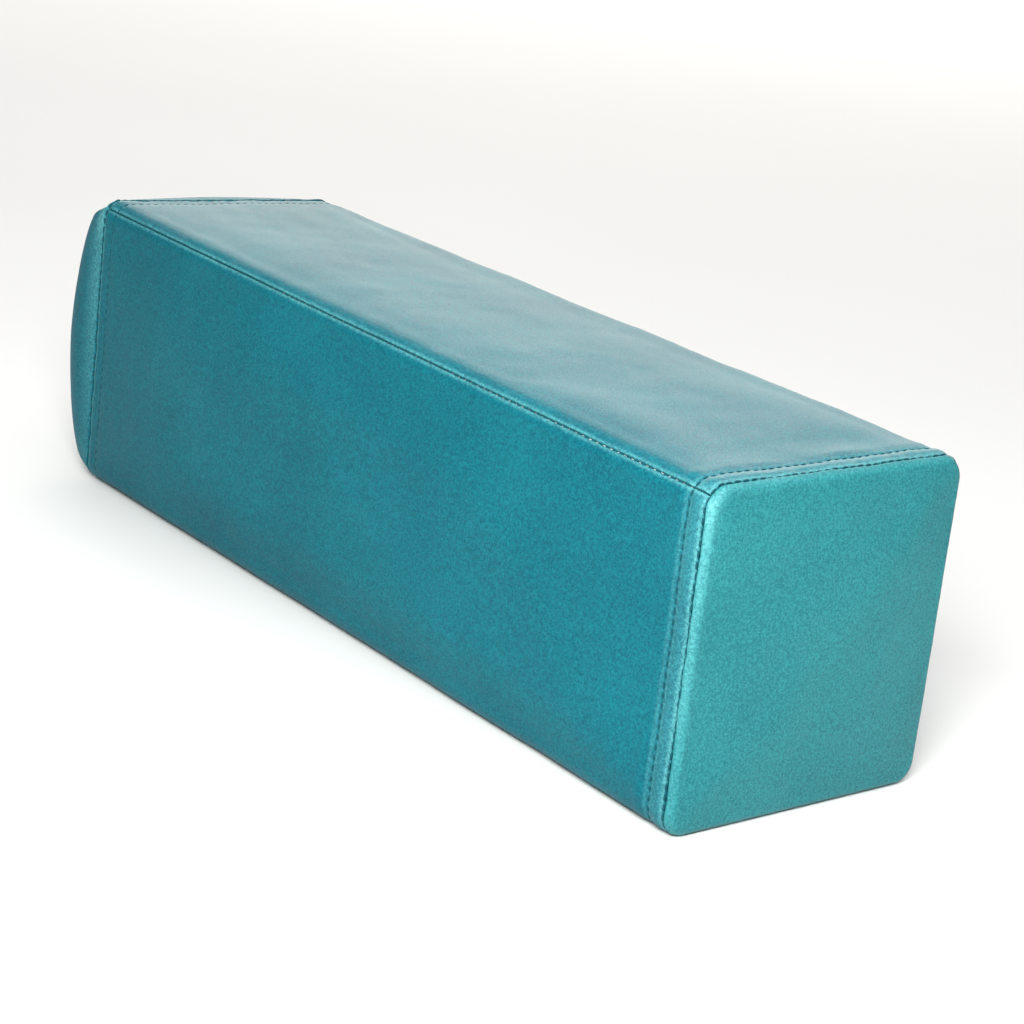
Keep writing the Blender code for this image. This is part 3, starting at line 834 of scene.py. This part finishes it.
def thread_finish():
    """Twisted thread, with a fine slant of plies across it."""
    thread = Finish("polyester_thread", ior=1.28)
    place = thread.place()
    slant = {"bands_direction": "DIAGONAL"}
    plies = thread.node("TexWave", slant, {"Vector": place, "Scale": 900.0}, "Fac")
    fuzz = thread.speckle(place, 1500.0)
    thread.set("Base Color", thread.blend(plies * 0.6 + fuzz * 0.4, THREAD_DEEP, THREAD_PALE))
    thread.set("Roughness", 0.50 + fuzz * 0.2)
    thread.relief(plies, 0.6, 0.0001)
    return thread.material


THREAD_FINISH = thread_finish()


def rounded_bead():
    """A little ball, to be drawn out into a stitch or a tooth."""
    bm = bmesh.new()
    bmesh.ops.create_uvsphere(bm, u_segments=7, v_segments=5, radius=1.0)
    bead = bpy.data.meshes.new("bead")
    bm.to_mesh(bead)
    bm.free()
    return bead


BEAD = rounded_bead()


def beads(lays):
    """Many beads in one mesh, each laid in its place."""
    bm = bmesh.new()
    for lay in lays:
        bead = BEAD.copy()
        bead.transform(lay)
        bm.from_mesh(bead)
        bpy.data.meshes.remove(bead)
    return bm


def stitch_row(name, node, places):
    """One row of stitches. Each place is a stitch's middle, its run and its outward direction."""
    size = Matrix.Diagonal((STITCH_LENGTH / 2, STITCH_WIDTH / 2, STITCH_WIDTH / 2, 1.0))
    lays = []
    for middle, run, outward in places:
        along = run.normalized()
        turn = Matrix((along, outward.cross(along), outward)).transposed().to_4x4()
        lays.append(Matrix.Translation(middle) @ turn @ size @ Matrix.Rotation(math.pi / 2, 4, "Y"))
    piece = finished_piece(name, beads(lays), THREAD_FINISH)
    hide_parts(node)


def along_cover(x, distance, step_x, step_distance, drop):
    """A stitch on the cover's body, lying along (step_x, step_distance)."""
    lift = cover_lift(x, distance) - drop - base_contact(distance) * STITCH_WIDTH / 2
    middle = cover_point(x, distance, lift)
    ahead = cover_point(x + step_x, distance + step_distance, lift)
    outward = (cover_point(x, distance, lift + 0.001) - middle).normalized()
    return middle, ahead - middle, outward


def long_row(distance, drop):
    """A row along the pillow, from end to end."""
    count = round((BODY_HIGH.x - BODY_LOW.x) / STITCH_PITCH)
    stations = [(i + 0.5) * STITCH_PITCH + BODY_LOW.x for i in range(count)]
    return [along_cover(x, distance, STITCH_STEP, 0.0, drop) for x in stations]


def girth_row(x, drop):
    """A row round the section, one stitch between each pair of needle holes."""
    count = int(GIRTH / STITCH_PITCH)
    stations = [(i + 0.5) * STITCH_PITCH for i in range(count)]
    return [along_cover(x, distance, 0.0, STITCH_STEP, drop) for distance in stations]


for side, seam in (("front", FRONT_SEAM), ("back", BACK_SEAM)):
    row = long_row(seam, SEAM_THREAD_DROP)
    stitch_row(side + "_top_seam_stitches", side + "_top_seam_thread", row)
for side, seam in (("left", BODY_LOW.x - SEAM_GAP / 2), ("right", BODY_HIGH.x + SEAM_GAP / 2)):
    row = girth_row(seam, END_THREAD_DROP)
    stitch_row(side + "_end_seam_stitches", side + "_end_seam_thread", row)
    row = girth_row(STITCH_ROWS[side], TOPSTITCH_DROP[side])
    stitch_row(side + "_end_topstitches", side + "_end_topstitch_thread", row)
for side, away in (("upper", 1), ("lower", -1)):
    row = long_row(ZIP_LINE + away * (ZIP_OPENING / 2 + ZIP_STITCH_MARGIN), ZIP_THREAD_DROP)
    stitch_row("zip_" + side + "_topstitches", "zip_" + side + "_topstitch_thread", row)

# ---------------------------------------------------------------------------------------------
# Zip: a closed-end nylon coil zip low on the back, so that the filling can be taken out. The coils
# are sewn to two woven tapes, which are stitched under the cover's turned edges. A facing strip of
# the same tape lies behind the coils.

TAPE_DEEP = (0.003, 0.080, 0.105)
TAPE_PALE = (0.014, 0.190, 0.225)
NYLON_DEEP = (0.004, 0.105, 0.140)
NYLON_PALE = (0.014, 0.205, 0.245)
FACING_WIDTH = 0.012
FACING_THICKNESS = 0.0006
FACING_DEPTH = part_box("zip_slider")[0].y - 0.0014  # clear of the slider's inner plate
FACING_INSET = 0.004  # from the tapes' ends
TOOTH_PITCH = 0.0012
TOOTH = (0.00050, 0.00080, 0.00145)  # half sizes: along the zip, in depth and across it
TOOTH_LEAN = 0.16  # radians
TOOTH_CLEARANCE = 0.00052  # from the zip's middle, where the slider's post passes


def tape_finish():
    """Narrow woven tape: ribs along it, crossed by the weft."""
    tape = Finish("woven_zip_tape", roughness=0.85)
    place = tape.place()
    ribs = {"bands_direction": "Z"}
    warp = tape.node("TexWave", ribs, {"Vector": place, "Scale": 420.0, "Distortion": 0.6}, "Fac")
    weft = tape.node("TexWave", {"bands_direction": "X"}, {"Vector": place, "Scale": 560.0}, "Fac")
    weave = warp * 0.6 + weft * 0.4
    tape.set("Base Color", tape.blend(weave, TAPE_DEEP, TAPE_PALE))
    tape.relief(weave, 0.7, 0.00015)
    return tape.material


def nylon_finish():
    """Dyed nylon monofilament, slightly glossy, a little uneven in its dye."""
    nylon = Finish("dyed_nylon_coil")
    dye = nylon.speckle(nylon.place(), 260.0)
    nylon.set("Base Color", nylon.blend(dye, NYLON_DEEP, NYLON_PALE))
    nylon.set("Roughness", 0.30 + dye * 0.16)
    return nylon.material


TAPE_FINISH = tape_finish()
give_finish(["zip_tape_upper", "zip_tape_lower"], TAPE_FINISH)
NYLON_FINISH = nylon_finish()


def zip_facing():
    """The strip of tape behind the zip, which keeps the slider off the filling."""
    low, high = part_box("zip_tape_upper")
    bm = bmesh.new()
    bmesh.ops.create_cube(bm, size=1.0)
    length = high.x - low.x - 2 * FACING_INSET
    size = Matrix.Diagonal((length, FACING_THICKNESS, FACING_WIDTH, 1.0))
    middle = Matrix.Translation(((low.x + high.x) / 2, FACING_DEPTH, ZIP_HEIGHT))
    bm.transform(middle @ size)
    piece = finished_piece("zip_facing", bm, TAPE_FINISH)


zip_facing()


def coil(side, away, phase):
    """One side's coil. Each turn is a rounded tooth, opposite a gap between two others."""
    low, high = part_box("zip_coil_" + side)
    middle = Vector((0, (low.y + high.y) / 2, ZIP_HEIGHT + away * (TOOTH_CLEARANCE + TOOTH[2])))
    lean = Matrix.Rotation(TOOTH_LEAN, 4, "Y") @ Matrix.Diagonal((*TOOTH, 1.0))
    turns = int((high.x - low.x) / TOOTH_PITCH) - 1
    stations = [low.x + (turn + 0.5 + phase) * TOOTH_PITCH for turn in range(turns)]
    lays = [Matrix.Translation((x, middle.y, middle.z)) @ lean for x in stations]
    piece = finished_piece("zip_" + side + "_coil_teeth", beads(lays), NYLON_FINISH)
    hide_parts("zip_coil_" + side)


coil("upper", 1, 0.0)
coil("lower", -1, 0.5)

# ---------------------------------------------------------------------------------------------
# Zip's metal: the stops, slider and pull tab, nickel-plated. The stops are clenched on past the
# coils' ends, the slider runs along the coils, and the pull tab hangs in the slider's bridge.

NICKEL_DULL = (0.30, 0.295, 0.28)
NICKEL_BRIGHT = (0.52, 0.51, 0.49)


def nickel_finish():
    """Nickel-plated zinc: bright, with fine rubbing marks and duller patches."""
    nickel = Finish("nickel_plated_zinc", metallic=1.0)
    place = nickel.place()
    patches = nickel.speckle(place, 180.0, 4.0)
    rubs = nickel.speckle(place, 1800.0, 1.0)
    nickel.set("Base Color", nickel.blend(patches, NICKEL_DULL, NICKEL_BRIGHT))
    nickel.set("Roughness", 0.20 + patches * 0.16 + rubs * 0.08)
    nickel.relief(rubs, 0.15, 0.00005)
    return nickel.material


NICKEL_FINISH = nickel_finish()
give_finish(["zip_top_stop_upper", "zip_top_stop_lower", "zip_bottom_stop"], NICKEL_FINISH)
give_finish(["zip_slider", "zip_pull_tab"], NICKEL_FINISH)

# ---------------------------------------------------------------------------------------------
# Floor, light and camera: a plain pale studio, lit softly from above and behind.

FLOOR_SIZE = 12.0
PAPER_SHADE = (0.77, 0.77, 0.77)
PAPER_WHITE = (0.80, 0.80, 0.80)
WORLD_STRENGTH = 0.28
CAMERA_PLACE = Vector((0.9176, -0.7382, 0.4382))
CAMERA_AIM = Vector((0.0299, 0.0137, 0.0569))
CAMERA_LENS = 89.6  # millimetres, on a sensor 36 mm wide
CAMERA_ROLL = math.radians(7.2295)


def studio_floor():
    bm = bmesh.new()
    bmesh.ops.create_grid(bm, x_segments=1, y_segments=1, size=FLOOR_SIZE / 2)
    mesh = bpy.data.meshes.new("floor")
    bm.to_mesh(mesh)
    bm.free()
    paper = Finish("floor_paper", roughness=0.9)
    clouds = paper.speckle(paper.place(), 3.0)
    paper.set("Base Color", paper.blend(clouds, PAPER_SHADE, PAPER_WHITE))
    mesh.materials.append(paper.material)
    floor = bpy.data.objects.new("floor", mesh)
    bpy.context.scene.collection.objects.link(floor)


def area_light(name, place, aim, width, height, power, colour=(1.0, 1.0, 1.0)):
    light = bpy.data.lights.new(name, "AREA")
    light.shape = "RECTANGLE"
    light.size, light.size_y = width, height
    light.energy = power
    light.color = colour
    lamp = bpy.data.objects.new(name, light)
    lamp.location = place
    lamp.rotation_euler = (Vector(aim) - Vector(place)).to_track_quat("-Z", "Y").to_euler()
    bpy.context.scene.collection.objects.link(lamp)


def studio_world():
    world = bpy.data.worlds.new("studio")
    world.use_nodes = True
    backdrop = world.node_tree.nodes["Background"]
    backdrop.inputs["Color"].default_value = (1.0, 1.0, 1.0, 1.0)
    backdrop.inputs["Strength"].default_value = WORLD_STRENGTH
    bpy.context.scene.world = world


def studio_camera():
    """A long lens from in front of the right end, a little above, with a small roll."""
    camera = bpy.data.cameras.new("camera")
    camera.lens = CAMERA_LENS
    camera.sensor_width = 36.0
    rig = bpy.data.objects.new("camera", camera)
    look = (CAMERA_AIM - CAMERA_PLACE).to_track_quat("-Z", "Y").to_matrix().to_4x4()
    roll = Matrix.Rotation(CAMERA_ROLL, 4, "Z")
    rig.matrix_world = Matrix.Translation(CAMERA_PLACE) @ look @ roll
    bpy.context.scene.collection.objects.link(rig)
    bpy.context.scene.camera = rig


studio_floor()
studio_world()
area_light("overhead", (0.0, 0.3, 3.0), (0.0, 0.3, 0.0), 5.0, 5.0, 85.0)
area_light("behind", (-3.3, 2.8, 1.15), (0.0, 0.0, 0.10), 5.0, 2.0, 122.0, (1.0, 0.97, 0.90))
area_light("right_front", (0.62, -0.62, 0.62), (0.20, -0.05, 0.08), 0.4, 0.4, 14.0, (1.0, 1.0, 0.95))
studio_camera()
bpy.context.scene.view_settings.view_transform = "Standard"
